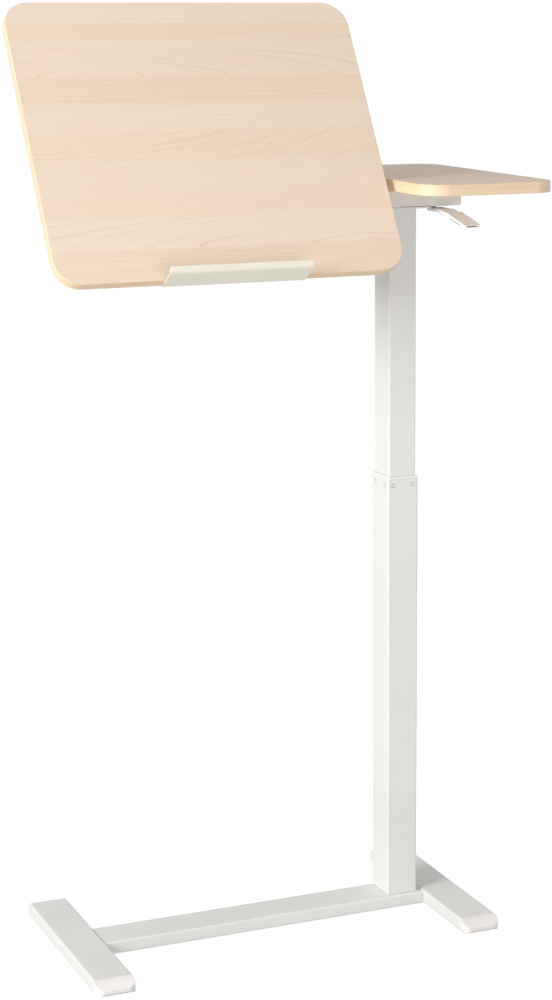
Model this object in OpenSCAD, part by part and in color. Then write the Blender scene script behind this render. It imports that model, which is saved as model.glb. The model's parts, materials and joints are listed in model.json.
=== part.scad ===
// Overbed table: C-shaped foot frame, telescopic column with a gas spring,
// and a two-part maple top whose large leaf tilts up like a lectern.
// +Z is up, the user sits on the -Y side, the origin is on the floor under
// the middle of the top. Millimetres.

/* [Column] */
// Width of the outer column tube, side to side
outer_w = 50; // [48:0.5:52]
// Depth of the outer column tube, front to back
outer_d = 60; // [58:0.5:62]
// Height of the outer column with its collar
outer_h = 672; // [640:1:700]
// Length of inner column showing between collar and top frame
extension = 406; // [395:1:410]
// Distance from the right edge of the top to the column centre
column_inset = 159; // [157:1:161]

/* [Base] */
// Overall width of the base over both feet
base_w = 648; // [600:1:700]
// Length of each foot tube between its two caps
foot_tube_l = 327; // [300:1:360]
// Width of each foot
foot_w = 60; // [56:1:64]
// Height of each foot tube
foot_h = 22; // [21:0.5:24]
// Length of each plastic foot cap beyond the tube
foot_cap_l = 22; // [20:1:28]
// Depth of the crossbar, front to back
bar_d = 66; // [64:1:70]

/* [Top] */
// Width of the tilting leaf
tilt_w = 511; // [480:1:540]
// Width of the fixed leaf
fixed_w = 207; // [200:1:230]
// Gap between the two leaves
leaf_gap = 13; // [8:1:20]
// Depth of both leaves
top_d = 428; // [400:1:460]
// Thickness of both leaves
board_t = 16; // [15:0.5:18]
// Corner radius of both leaves
corner_r = 37; // [30:1:50]

/* [Tilt] */
// Tilt of the large leaf above level
tilt_angle = 58; // [0:1:58]
// Distance from the front edge of the leaf to its pivot
hinge_back = 126; // [118:1:130]

/* [Page stop] */
// Length of the page stop
stop_l = 210; // [150:1:260]
// Height of the page stop above the leaf surface
stop_h = 22.5; // [18:0.5:30]

/* [Lever] */
// Length of the release lever grip
grip_l = 92; // [80:1:100]
// Width of the release lever grip
grip_w = 23; // [21:1:26]

/* [Hidden] */
$fn = 48;
cut = 1;                         // overshoot of a cutter past a face

// heights, from the floor up
pad_t = 3;                       // glide pad under the feet
bar_h = 20;
z_bar = pad_t + bar_h;           // top of the crossbar, bottom of the column
z_outer = z_bar + outer_h;       // top of the collar
z_rail = z_outer + extension;    // underside of the rails, top of the column
rail_w = 25;                     // square rails of the top frame
z_board = z_rail + rail_w;       // underside of the fixed leaf

// left and right edges of the two leaves
top_w = tilt_w + leaf_gap + fixed_w;
tilt_x0 = -top_w/2;
tilt_x1 = tilt_x0 + tilt_w;
fixed_x0 = tilt_x1 + leaf_gap;
fixed_x1 = top_w/2;
column_x = fixed_x1 - column_inset;

metal = [0.93, 0.925, 0.91];
plastic = [0.95, 0.94, 0.93];
steel = [0.68, 0.69, 0.70];
dark = [0.20, 0.20, 0.21];
wood = [0.95, 0.88, 0.78];
band = [0.93, 0.82, 0.66];

// ---------- shared shapes ----------

// rounded rectangle from squares and circles, so its corners stay true arcs
module rrect(width, depth, radius) {
  square([width - 2*radius, depth], center = true);
  square([width, depth - 2*radius], center = true);
  for (sx = [-1, 1], sy = [-1, 1])
    translate([sx*(width/2 - radius), sy*(depth/2 - radius)]) circle(r = radius, $fn = 32);
}

module ring(width, depth, radius, wall) {
  difference() {
    rrect(width, depth, radius);
    rrect(width - 2*wall, depth - 2*wall, radius - wall);
  }
}

// profile drawn in Y and Z, run along X from x0 to x1
module extrude_x(x0, x1, y, z)
  translate([x0, y, z]) rotate([90, 0, 90]) linear_extrude(height = x1 - x0) children();

// profile drawn in X and Z, run along Y from y0 to y1
module extrude_y(x, y0, y1, z)
  translate([x, y1, z]) rotate([90, 0, 0]) linear_extrude(height = y1 - y0) children();

// profile drawn in X and Y, centred on y = 0, run along Z from z0 to z1
module extrude_z(x, z0, z1)
  translate([x, 0, z0]) linear_extrude(height = z1 - z0) children();

module block(x0, x1, y0, y1, z0, z1)
  translate([x0, y0, z0]) cube([x1 - x0, y1 - y0, z1 - z0]);

module cyl(x, y, z0, z1, radius)
  translate([x, y, z0]) cylinder(r = radius, h = z1 - z0);

// upright cylinder at each [x, y] point
module cyls(points, z0, z1, radius)
  for (p = points) cyl(p[0], p[1], z0, z1, radius);

module cyl_x(x0, x1, y, z, radius)
  translate([x0, y, z]) rotate([0, 90, 0]) cylinder(r = radius, h = x1 - x0);

// upright cylinder on the column centre line
module column_cyl(z0, z1, radius) cyl(column_x, 0, z0, z1, radius);

// upright hexagonal prism, sized across its flats
module hex(x, y, z0, z1, flats)
  translate([x, y, z0]) cylinder(r = flats/sqrt(3), h = z1 - z0, $fn = 6);

// crossed slots centred on the origin
module cross_recess(length, width, height)
  for (a = [0, 90]) rotate([0, 0, a]) cube([length, width, height], center = true);

// screw pointing up at each [x, y] point, its head hanging below z_seat
screw_r = 2;
module pan_screws(points, z_seat, z_tip, head_r = 3.8, head_h = 2.1, recess = 3.6, root = 0.5)
  for (p = points) difference() {
    union() {
      cyl(p[0], p[1], z_seat - head_h, z_seat, head_r);
      cyl(p[0], p[1], z_seat - root, z_tip, screw_r);
    }
    translate([p[0], p[1], z_seat - head_h]) cross_recess(recess, 0.9, 2);
  }

// ---------- base ----------

base_x1 = column_x + 94;         // outer face of the right foot
base_x0 = base_x1 - base_w;      // outer face of the left foot
foot_y0 = -foot_tube_l/2 - 3.5;  // front end of the foot tubes
foot_y1 = foot_y0 + foot_tube_l;
foot_r = 3.5;                    // corner radius of the foot tubes
foot_mid_z = pad_t + foot_h/2;
bar_y1 = outer_d/2;              // rear face of the crossbar
bar_y0 = bar_y1 - bar_d;
bar_mid_y = (bar_y0 + bar_y1)/2;
bar_t = 1.5;                     // wall of the crossbar and foot tubes
z_bar_in = z_bar - bar_t;        // inside of the crossbar's top wall
z_tongue = pad_t + bar_t;
tongue_t = 5;
tongue_l = 80;
tongue_inset = 8;                // from each face of the crossbar
slot_gap = 0.3;                  // play of a tongue in its slot
tongue_bolt_r = 3.5;
base_hole_r = 4.2;
column_bolt_r = 4;
column_bolts_xy = [for (sx = [-1, 1], sy = [-1, 1]) [column_x + sx*16, sy*20]];
pads_y = [foot_y0 + 30, foot_y1 - 30];

// side is -1 for the left foot, 1 for the right
function foot_x0(side) = side > 0 ? base_x1 - foot_w : base_x0;
function foot_mid_x(side) = foot_x0(side) + foot_w/2;

// [x, y] of the bolts that hold the tongue of one side: two under the foot, two under the bar
function tongue_bolts(side) =
  let (outer_x = side > 0 ? base_x1 : base_x0)
  [for (inset = [35, foot_w + 15], y = [-15, 15]) [outer_x - side*inset, bar_mid_y + y]];
all_tongue_bolts = concat(tongue_bolts(1), tongue_bolts(-1));

module crossbar() color(metal) difference() {
  extrude_x(base_x0 + foot_w, base_x1 - foot_w, bar_mid_y, pad_t + bar_h/2)
    ring(bar_d, bar_h, 3, bar_t);
  cyls(all_tongue_bolts, pad_t - cut, z_tongue + cut, base_hole_r);
  // bolt and spring holes in the top wall, wider ones below them
  cyls(column_bolts_xy, z_bar - 5, z_bar + cut, base_hole_r);
  cyls(column_bolts_xy, pad_t - cut, pad_t + 5, 8);
  column_cyl(z_bar - 5, z_bar + cut, 5.3);
  column_cyl(pad_t - cut, pad_t + 5, 13);
}

// flat steel tongues joining the crossbar to each foot
module bar_tongues() color(steel) for (side = [-1, 1]) {
  x0 = side > 0 ? base_x1 - foot_w - 32 : base_x0 + 12;
  difference() {
    block(x0, x0 + tongue_l, bar_y0 + tongue_inset, bar_y1 - tongue_inset,
          z_tongue, z_tongue + tongue_t);
    cyls(tongue_bolts(side), pad_t, pad_t + 12, tongue_bolt_r);
  }
}

// low-head bolts from under the base into the tongues
module base_bolts() color(steel) for (p = all_tongue_bolts) difference() {
  union() {
    cyl(p[0], p[1], pad_t - 2.2, pad_t, 7);
    cyl(p[0], p[1], pad_t - 1, z_tongue + tongue_t, tongue_bolt_r);
  }
  hex(p[0], p[1], pad_t - 3, pad_t - 0.6, 5);
}

module foot_tube(side) color(metal) difference() {
  slot_x = side > 0 ? foot_x0(side) - cut : foot_x0(side) + foot_w - 4;
  slot_inset = tongue_inset - slot_gap;
  extrude_y(foot_mid_x(side), foot_y0, foot_y1, foot_mid_z) ring(foot_w, foot_h, foot_r, bar_t);
  // slot for the tongue in the inner wall
  block(slot_x, slot_x + 4 + cut, bar_y0 + slot_inset, bar_y1 - slot_inset,
        z_tongue, z_tongue + tongue_t + slot_gap);
  cyls(tongue_bolts(side), pad_t - cut, z_tongue + cut, base_hole_r);
  for (y = pads_y) cyl(foot_mid_x(side), y, pad_t - cut, z_tongue + cut, 4);
}
module left_foot_tube() foot_tube(-1);
module right_foot_tube() foot_tube(1);

// side view of a cap, nose towards -Y: [y, z] from the tube end and the foot's underside
cap_profile = [
  [0, 0], [-foot_cap_l + 10, 0], [-foot_cap_l + 6, 0.9], [-foot_cap_l + 2.6, 2.7],
  [-foot_cap_l + 0.7, 4.6], [-foot_cap_l, 6.2], [-foot_cap_l, 11],
  [-foot_cap_l + 0.5, 12.2], [-foot_cap_l + 1.8, 13.5], [-foot_cap_l + 10, 18.6],
  [-foot_cap_l + 14, 20.4], [-foot_cap_l + 17.5, foot_h - 0.5],
  [-foot_cap_l + 20, foot_h], [0, foot_h]];
nose_r = 12;                     // corner radius of a cap seen from above
spigot_l = 18;

// cap: sloping nose outside, hollow spigot inside the tube; built pointing -Y,
// end is -1 at the front of the foot, 1 at the rear
module foot_cap(side, end) color(plastic)
  translate([foot_mid_x(side), end > 0 ? foot_y1 : foot_y0, pad_t])
  rotate([0, 0, end > 0 ? 180 : 0]) {
    intersection() {
      extrude_x(-foot_w/2, foot_w/2, 0, 0) polygon(cap_profile);
      extrude_z(0, -cut, foot_h + cut) union() {
        translate([-foot_w/2 + nose_r, -foot_cap_l]) square([foot_w - 2*nose_r, foot_cap_l]);
        translate([-foot_w/2, -foot_cap_l + nose_r]) square([foot_w, foot_cap_l - nose_r]);
        for (sx = [-1, 1])
          translate([sx*(foot_w/2 - nose_r), -foot_cap_l + nose_r]) circle(r = nose_r, $fn = 48);
      }
      // long edges eased to follow the tube
      extrude_y(0, -foot_cap_l - cut, cut, foot_h/2) rrect(foot_w, foot_h, foot_r);
    }
    difference() {
      spigot_w = foot_w - 2*bar_t;
      spigot_h = foot_h - 2*bar_t;
      extrude_y(0, 0, spigot_l, foot_h/2) rrect(spigot_w, spigot_h, foot_r - bar_t);
      extrude_y(0, 2, spigot_l + cut, foot_h/2) rrect(spigot_w - 5, spigot_h - 5, 1);
    }
  }
module left_foot_front_cap() foot_cap(-1, -1);
module left_foot_rear_cap() foot_cap(-1, 1);
module right_foot_front_cap() foot_cap(1, -1);
module right_foot_rear_cap() foot_cap(1, 1);

// round glides pressed into the underside of the feet
module foot_pads() color(dark) for (side = [-1, 1], y = pads_y) {
  x = foot_mid_x(side);
  edge_h = 0.8;                  // tapered lower edge
  translate([x, y, 0]) cylinder(r1 = 14.2, r2 = 15, h = edge_h);
  cyl(x, y, edge_h, pad_t, 15);
  cyl(x, y, pad_t - 0.5, pad_t + 6, 4);
}

// ---------- column ----------

outer_t = 1.2;                   // wall of the outer tube
outer_r = 2.5;
bore_w = outer_w - 2*outer_t;    // inside of the outer tube
bore_d = outer_d - 2*outer_t;
bore_r = outer_r - outer_t;
collar_h = 3.5;
collar_edge = 1.6;               // upright part of the collar, below its bevel
z_tube = z_outer - collar_h;     // top of the outer tube itself
inner_w = outer_w - 6;
inner_d = outer_d - 6;
inner_t = 1.5;
inner_r = 2;
z_inner = z_rail - 650;          // lower end of the inner tube
clearance = 0.08;                // running clearance of sliding faces
base_plate_t = 6;
sleeve_l = 90;                   // upper bushing below the collar
button_x = outer_w/2 - 9;        // buttons on the front and rear faces
button_y = outer_d/2 - 13;       // buttons on the left and right faces
z_button = z_outer - 13;

saddle_t = 2.5;                  // saddle plate, under the rails
z_saddle = z_rail - saddle_t;
head_plate_t = 6;                // head plate, between the rails
z_plate = z_rail + head_plate_t;
rail_in_y = 52;                  // inner faces of the rails
rail_out_y = rail_in_y + rail_w;

cylinder_bore = 12.8;            // radii of the gas spring
rod_r = 5;
pin_r = 2;
rod_gap = 0.1;                   // play of the rod in the two plates
z_cylinder = z_bar + 600;        // top of the gas spring cylinder
z_piston = z_bar + 545;          // top of the piston

module button_holes(radius) for (s = [-1, 1]) {
  // front and rear faces
  translate([column_x + s*button_x, 0, z_button]) rotate([90, 0, 0])
    cylinder(r = radius, h = outer_d + 4, center = true);
  // left and right faces
  translate([column_x, s*button_y, z_button]) rotate([0, 90, 0])
    cylinder(r = radius, h = outer_w + 4, center = true);
}

module outer_column() color(metal) difference() {
  extrude_z(column_x, z_bar, z_tube) ring(outer_w, outer_d, outer_r, outer_t);
  button_holes(3.2);
}

module column_base_plate() color(steel) difference() {
  extrude_z(column_x, z_bar, z_bar + base_plate_t) rrect(bore_w, bore_d, bore_r);
  cyls(column_bolts_xy, z_bar - cut, z_bar + base_plate_t + cut, column_bolt_r);
  column_cyl(z_bar - cut, z_bar + base_plate_t + cut, 5.1);
}

// column bolts, heads inside the crossbar
module column_bolts() color(steel) for (p = column_bolts_xy) {
  difference() {
    cyl(p[0], p[1], z_bar_in - 6, z_bar_in, 6.5);
    hex(p[0], p[1], z_bar_in - 7, z_bar_in - 3, 6);
  }
  cyl(p[0], p[1], z_bar_in - 0.5, z_bar + base_plate_t, column_bolt_r);
}

// hexagonal nut on the column centre line
module column_nut(z0, height) difference() {
  hex(column_x, 0, z0, z0 + height, 17);
  column_cyl(z0 - cut, z0 + height + cut, rod_r);
}

module spring_foot_nut() color(steel) column_nut(z_bar_in - 8, 8);

// plastic sleeve in the mouth of the outer tube, with a bevelled collar on top
module upper_glide_bushing() color(plastic) difference() {
  skin = 0.01;                   // thickness of the two slices hulled into the bevel
  bevel = 1.5;
  union() {
    extrude_z(column_x, z_tube - sleeve_l, z_tube) rrect(bore_w, bore_d, bore_r);
    extrude_z(column_x, z_tube, z_tube + collar_edge) rrect(outer_w, outer_d, outer_r);
    translate([column_x, 0, z_tube + collar_edge]) hull() {
      linear_extrude(height = skin) rrect(outer_w, outer_d, outer_r);
      translate([0, 0, collar_h - collar_edge - skin]) linear_extrude(height = skin)
        rrect(outer_w - 2*bevel, outer_d - 2*bevel, 1.6);
    }
  }
  extrude_z(column_x, z_tube - sleeve_l - cut, z_tube + 9)
    rrect(inner_w + 2*clearance, inner_d + 2*clearance, inner_r);
  button_holes(1.8);
}

// snap buttons that lock the sleeve in the tube
module glide_buttons() color(plastic) for (s = [-1, 1], face = [-1, 1]) {
  translate([column_x + s*button_x, face*outer_d/2, z_button]) rotate([face*-90, 0, 0]) button();
  translate([column_x + face*outer_w/2, s*button_y, z_button]) rotate([0, face*90, 0]) button();
}

// one button pointing +Z, the face of the tube at z = 0
module button() {
  cyl(0, 0, -outer_t, -0.8, 3.2);
  cyl(0, 0, -0.9, 0.3, 2.2);
  cyl(0, 0, -outer_t - 1.2, -outer_t + 0.2, 1.8);
}

module inner_column() color(metal)
  extrude_z(column_x, z_inner, z_saddle) ring(inner_w, inner_d, inner_r, inner_t);

// sleeve and lip on the lower end of the inner tube
module lower_glide_bushing() color(plastic) difference() {
  lip_in = 2*inner_t + 1;
  extrude_z(column_x, z_inner - 3, z_inner + 60)
    rrect(bore_w - 2*clearance, bore_d - 2*clearance, bore_r);
  extrude_z(column_x, z_inner, z_inner + 70) rrect(inner_w, inner_d, inner_r);
  extrude_z(column_x, z_inner - 4, z_inner + 6) rrect(inner_w - lip_in, inner_d - lip_in, 1);
}

// cylinder with a threaded stud's plain shank below it
module gas_spring_cylinder() color(dark) {
  z_foot = z_bar + base_plate_t;
  difference() {
    column_cyl(z_foot, z_cylinder, 14);
    column_cyl(z_foot + 10, z_cylinder + cut, cylinder_bore);
  }
  column_cyl(z_bar - 13, z_foot + 0.5, 5);
}

module gas_spring_rod_guide() color(steel) difference() {
  union() {
    column_cyl(z_cylinder - 24, z_cylinder, cylinder_bore);
    column_cyl(z_cylinder, z_cylinder + 1.5, 13.6);
  }
  column_cyl(z_cylinder - 25, z_cylinder + 3, rod_r + 0.05);
}

// hollow rod, the release pin runs inside it
module gas_spring_rod() color(steel) difference() {
  z_rod = z_rail + 12;
  column_cyl(z_piston - 14, z_rod, rod_r);
  column_cyl(z_piston - 8, z_rod + cut, pin_r + 0.06);
}

module gas_spring_piston() color(dark) difference() {
  column_cyl(z_piston - 12, z_piston, cylinder_bore - clearance);
  column_cyl(z_piston - 12 - cut, z_piston + cut, rod_r);
}

module release_pin() color(steel) column_cyl(z_piston - 3, z_rail + 16, pin_r);

// nuts clamping the rod to the saddle and head plates from both sides
module rod_nuts() color(steel) {
  column_nut(z_saddle - 8, 8);
  column_nut(z_plate, 5);
}

// plate closing the inner column, with the rails welded on top of it
module column_saddle_plate() color(metal) difference() {
  extrude_z(column_x - 3, z_saddle, z_rail) rrect(52, 2*rail_out_y, 3);
  column_cyl(z_saddle - cut, z_rail + cut, rod_r + rod_gap);
}

// thick plate on the saddle, welded between the two rails
module column_head_plate() color(metal) difference() {
  block(column_x - 55, column_x + 30, -rail_in_y, rail_in_y, z_rail, z_plate);
  column_cyl(z_rail - cut, z_plate + cut, rod_r + rod_gap);
}

// ---------- top frame and fixed leaf ----------

rail_x0 = tilt_x0 + 138;         // left end of the rails
rail_x1 = column_x + 69;         // right end of the rails
rail_r = 2.5;
rail_t = 1.5;
rail_bore = rail_w - 2*rail_t;
rail_bore_r = rail_r - rail_t;
rail_mid_y = rail_in_y + rail_w/2;
rail_mid_z = z_rail + rail_w/2;
cross_tubes_x = [rail_x0 + rail_w/2, column_x - 100];
frame_screws = [for (x = [fixed_x0 + 14, rail_x1 - 14], s = [-1, 1]) [x, s*rail_mid_y]];
fixed_screw_depth = 12;          // into the fixed leaf
edge_t = 1;                      // edge band round each leaf

module top_frame() color(metal) difference() {
  union() {
    for (s = [-1, 1]) extrude_x(rail_x0, rail_x1, s*rail_mid_y, rail_mid_z)
      ring(rail_w, rail_w, rail_r, rail_t);
    for (x = cross_tubes_x) extrude_y(x, -rail_in_y - 1, rail_in_y + 1, rail_mid_z)
      ring(rail_w, rail_w, rail_r, rail_t);
  }
  // vent holes of the cross tubes
  for (x = cross_tubes_x, s = [-1, 1]) cyl(x, s*30, z_rail - cut, z_rail + 5, 4);
  // screw holes in the top wall, wider ones below them
  cyls(frame_screws, z_board - 3, z_board + cut, 2.2);
  cyls(frame_screws, z_rail - cut, z_rail + 3, 5);
  // keep the rails open along their length
  for (s = [-1, 1]) extrude_x(rail_x0 - cut, rail_x1 + cut, s*rail_mid_y, rail_mid_z)
    rrect(rail_bore, rail_bore, rail_bore_r);
}

// left ends of [outer plate, plug, hollow in the plug] for the two ends of a rail
cap_starts = [
  [rail_x0 - 1.5, rail_x0 - 0.5, rail_x0 + 1],
  [rail_x1, rail_x1 - 6, rail_x1 - 7]];

module rail_end_caps() color(plastic) for (s = [-1, 1], start = cap_starts) {
  y = s*rail_mid_y;
  extrude_x(start[0], start[0] + 1.5, y, rail_mid_z) rrect(rail_w, rail_w, rail_r);
  difference() {
    extrude_x(start[1], start[1] + 6.5, y, rail_mid_z) rrect(rail_bore, rail_bore, rail_bore_r);
    extrude_x(start[2], start[2] + 6, y, rail_mid_z) rrect(rail_bore - 4, rail_bore - 4, 1);
  }
}

// board of a leaf inside its edge band
module leaf_board(x0, x1, z)
  extrude_z((x0 + x1)/2, z, z + board_t)
    rrect(x1 - x0 - 2*edge_t, top_d - 2*edge_t, corner_r - edge_t);

module leaf_band(x0, x1, z)
  extrude_z((x0 + x1)/2, z, z + board_t) ring(x1 - x0, top_d, corner_r, edge_t);

module fixed_leaf() color(wood) difference() {
  leaf_board(fixed_x0, fixed_x1, z_board);
  cyls(frame_screws, z_board - cut, z_board + fixed_screw_depth, screw_r);
}
module fixed_leaf_edge_band() color(band) leaf_band(fixed_x0, fixed_x1, z_board);

// pan-head screws into the fixed leaf, their heads inside the rails
module fixed_leaf_screws() color(steel)
  pan_screws(frame_screws, z_board - rail_t, z_board + fixed_screw_depth,
             head_r = 4.2, head_h = 2.4, recess = 4, root = 1);

// ---------- release lever ----------

lever_y = -40;                   // axis of the lever shaft
lever_z = z_rail + 14;
shaft_r = 4;
bearings_x = [column_x - 16, column_x + 18];   // left faces of the ears
bearing_t = 3;
bearing_half = 7.5;              // half depth and top radius of an ear
bush_r = 5;
grooves_x = [column_x - 19, column_x + 48];    // snap ring grooves
groove_r = 3.2;

arm_x = column_x + 40.5;         // middle of the lever arm and grip
arm_w = 8;
arm_t = 2.5;
arm_drop = 20;                   // from the shaft axis to the arm's middle line
arm_run = 44;                    // from the shaft axis forward to the bend
arm_tail = 60;                   // sloping part inside the grip
slope = 10;                      // droop of the grip
grip_y = lever_y - arm_run;      // rear end of the sloping grip, in front of the rail
grip_z = lever_z - arm_drop;
grip_screw_d = [34, 50];         // grip screws, measured from grip_y down the slope
grip_screw_r = 1.6;
grip_seat = -1.9;                // top of the grip screw heads
socket_gap = 0.05;               // play of the arm in the grip

module lever_cyl(x0, x1, radius) cyl_x(x0, x1, lever_y, lever_z, radius);

// upright ear with a foot welded to the head plate
module lever_bearing(x) color(metal) difference() {
  union() {
    extrude_x(x, x + bearing_t, lever_y, lever_z) union() {
      circle(r = bearing_half);
      translate([-bearing_half, z_plate - lever_z])
        square([2*bearing_half, lever_z - z_plate]);
    }
    block(x - 10, x + 1, lever_y - bearing_half, lever_y + bearing_half, z_plate, z_plate + 1.2);
  }
  lever_cyl(x - cut, x + bearing_t + cut, bush_r);
}
module lever_bearing_left() lever_bearing(bearings_x[0]);
module lever_bearing_right() lever_bearing(bearings_x[1]);

// flanged nylon bushes in the two ears
module lever_bushes() color(plastic) for (x = bearings_x) difference() {
  union() {
    lever_cyl(x - 1, x + bearing_t, bush_r);
    lever_cyl(x - 1, x, 6.5);
  }
  lever_cyl(x - 1 - cut, x + bearing_t + cut, shaft_r + 0.05);
}

module lever_shaft() color(steel) difference() {
  lever_cyl(column_x - 20, column_x + 50, shaft_r);
  for (x = grooves_x) difference() {
    lever_cyl(x, x + 1, 5);
    lever_cyl(x - cut, x + 2, groove_r);
  }
}

// snap rings in the grooves at both ends of the shaft
module shaft_clips() color(dark) for (x = grooves_x)
  translate([x + 0.1, lever_y, lever_z]) rotate([0, 90, 0]) difference() {
    cylinder(r = 6, h = 0.8);
    translate([0, 0, -cut]) cylinder(r = groove_r, h = 3);
    translate([-2.4, 0, -cut]) cube([4.8, 8, 3]);
  }

// finger that presses the release pin; outline as [y, z] from the shaft axis
module lever_finger() color(steel) difference() {
  x0 = column_x - 6;
  x1 = column_x + 6;
  extrude_x(x0, x1, lever_y, lever_z) union() {
    circle(r = 6.3);
    polygon([[0, -2], [8, 2.5], [44, 2.5], [44, 6.5], [42.5, 8], [0, 8], [-4, 4.8]]);
  }
  lever_cyl(x0 - cut, x1 + cut, shaft_r);
}

// frame running down the grip: origin on the arm's middle line, -Y along it
module grip_at(distance = 0)
  translate([arm_x, grip_y, grip_z]) rotate([slope, 0, 0]) translate([0, -distance, 0])
    children();

// cranked arm passing under the front rail; outline as [y, z] from the shaft axis
module lever_arm() color(metal) difference() {
  low_z = -arm_drop - arm_t/2;
  high_z = -arm_drop + arm_t/2;
  tip_y = -arm_run - arm_tail*cos(slope);
  tip_z = low_z - arm_tail*sin(slope);
  extrude_x(arm_x - arm_w/2, arm_x + arm_w/2, lever_y, lever_z) union() {
    circle(r = 6.5);
    polygon([[-6.5, 0], [6.5, 0], [4, -12], [1, -19.5], [-3, low_z], [-arm_run, low_z],
             [tip_y, tip_z], [tip_y - arm_t*sin(slope), tip_z + arm_t*cos(slope)],
             [-arm_run, high_z], [-8, high_z], [-7, -17.75]]);
  }
  lever_cyl(arm_x - arm_w/2 - cut, arm_x + arm_w/2 + cut, shaft_r);
  for (d = grip_screw_d) grip_at(d) cyl(0, 0, -10, 10, grip_screw_r);
}

// side view of the sloping grip: [y, z] in the grip frame
grip_profile = [
  [0, -2.2], [0, 2.3], [-4, 3.3], [-26, 3.8], [-28, 4.9], [-grip_l + 4, 2.2],
  [-grip_l + 1.2, 1.6], [-grip_l, 0.2], [-grip_l + 0.4, -1.2], [-grip_l + 2.5, -1.9],
  [-grip_l + 16, -2.9], [-grip_l + 30, -3.2], [-30, -3.2], [-3, -2.3]];

// top view of the sloping grip: its front part is flare wider on the right
module grip_plan() {
  nose = 5;                      // radius of the front corners
  flare = 2;
  left = -grip_w/2;
  right = grip_w/2;
  translate([left, -grip_l + nose]) square([grip_w, grip_l - nose]);
  translate([left + nose, -grip_l]) square([grip_w - 2*nose, grip_l]);
  translate([right - 1, -grip_l + nose]) square([1 + flare, grip_l - 32]);
  translate([right - 4, -grip_l]) square([1, 10]);
  for (x = [left + nose, right + flare - nose])
    translate([x, -grip_l + nose]) circle(r = nose, $fn = 40);
}

// moulded paddle: narrow neck, wider hand pad, hollow nose and flutes
module lever_grip() color(metal) difference() {
  neck_l = 35.5;
  socket_x = arm_w/2 + socket_gap;
  socket_z = arm_t/2 + socket_gap;
  left = -grip_w/2;
  flute_y = -grip_l + 16;
  union() {
    // neck, level under the front rail
    extrude_y(arm_x, grip_y - 1, grip_y + neck_l, grip_z) rrect(grip_w, 4.6, 1.2);
    grip_at() intersection() {
      extrude_x(-grip_w, grip_w, 0, 0) polygon(grip_profile);
      extrude_z(0, -20, 20) grip_plan();
    }
  }
  // socket for the arm
  block(arm_x - socket_x, arm_x + socket_x, grip_y - 2, grip_y + neck_l + cut,
        grip_z - socket_z, grip_z + socket_z);
  grip_at() {
    block(-socket_x, socket_x, -arm_tail - 1, 1, -socket_z, socket_z);
    // hollow nose
    block(left + 3, grip_w/2 - 4, -grip_l - cut, -grip_l + 19, -1.1, 0.7);
    // flutes in the left flank and along the top
    block(left - cut, left + 1.8, flute_y, flute_y + 36, -1.9, -0.6);
    block(left + 5, left + 6.2, flute_y, flute_y + 46, 3.2, 6.2);
  }
  for (d = grip_screw_d) grip_at(d) {
    cyl(0, 0, -10, 2, grip_screw_r);
    cyl(0, 0, -10, grip_seat, 3.1);
  }
}

module grip_screws() color(dark) for (d = grip_screw_d) grip_at(d) {
  head_h = 1.2;
  cyl(0, 0, -2, 1.25, grip_screw_r);
  difference() {
    cyl(0, 0, grip_seat - head_h, grip_seat, 2.9);
    translate([0, 0, grip_seat - head_h]) cross_recess(2.6, 0.7, 1.2);
  }
}

// ---------- hinges ----------

front_y = -top_d/2;              // front edge of the leaves
z_leaf = z_board + 0.3;          // underside of the tilting leaf when level
pivot_drop = 8.3;                // pivot axis below the tilting leaf
pivot_y = front_y + hinge_back;
pivot_z = z_leaf - pivot_drop;
pivot_r = 3;
hinges_x = [tilt_x0 + 183, tilt_x1 - 46];      // centre lines of the two hinges
ear_t = 3;
bracket_half = 20;               // half width of a bracket over its ears
saddle_half = 15.95;             // half width of a hinge leaf over its ears
hinge_plate_t = 2.5;
disc_pitch = 1.2;                // spacing of the disc springs
tilt_screw_depth = 11;           // into the tilting leaf

// [x, y] of the four screws of the hinge at x
function hinge_screws(x) =
  [for (y = [pivot_y - 43, pivot_y - 20], s = [-1, 1]) [x + s*7.5, y]];
all_hinge_screws = [for (x = hinges_x, p = hinge_screws(x)) p];

module pivot_cyl(x0, x1, radius) cyl_x(x0, x1, pivot_y, pivot_z, radius);

// two ears at x, half_w from the middle to their outer faces; profile from the pivot axis
module hinge_ears(x, half_w)
  for (s = [-1, 1]) {
    x0 = x + s*(half_w - ear_t/2) - ear_t/2;
    extrude_x(x0, x0 + ear_t, pivot_y, pivot_z) children();
  }

// carries the tilting leaf from level to its tilt about the pivot axis
module tilted()
  translate([0, pivot_y, pivot_z]) rotate([tilt_angle, 0, 0])
    translate([0, -pivot_y, -pivot_z]) children();

// clevis on the front rail: back plate and two ears round the pivot
module hinge_bracket(x) color(metal) difference() {
  union() {
    block(x - bracket_half, x + bracket_half, -rail_out_y - 3, -rail_out_y,
          pivot_z - 14, pivot_z + 6);
    hinge_ears(x, bracket_half) union() {
      circle(r = 7);
      translate([0, -14]) square([-rail_out_y - 1 - pivot_y, 20]);
      polygon([[-7, 0], [0, -14], [1, -14], [1, 0]]);
    }
  }
  pivot_cyl(x - 22, x + 22, pivot_r);
}
module hinge_bracket_left() hinge_bracket(hinges_x[0]);
module hinge_bracket_right() hinge_bracket(hinges_x[1]);

module pivot_bolts() color(steel) for (x = hinges_x) {
  difference() {
    pivot_cyl(x - bracket_half - 4, x - bracket_half, 5.2);
    pivot_cyl(x - bracket_half - 4.5, x - bracket_half - 1.7, 2.3, $fn = 6);
  }
  pivot_cyl(x - bracket_half - 0.5, x + 29, pivot_r);
}

module pivot_nuts() color(steel) for (x = hinges_x) difference() {
  x0 = x + bracket_half + 2*disc_pitch;
  pivot_cyl(x0, x0 + 5.6, 5.6, $fn = 6);
  pivot_cyl(x + 21, x + 30, pivot_r);
}

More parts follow.
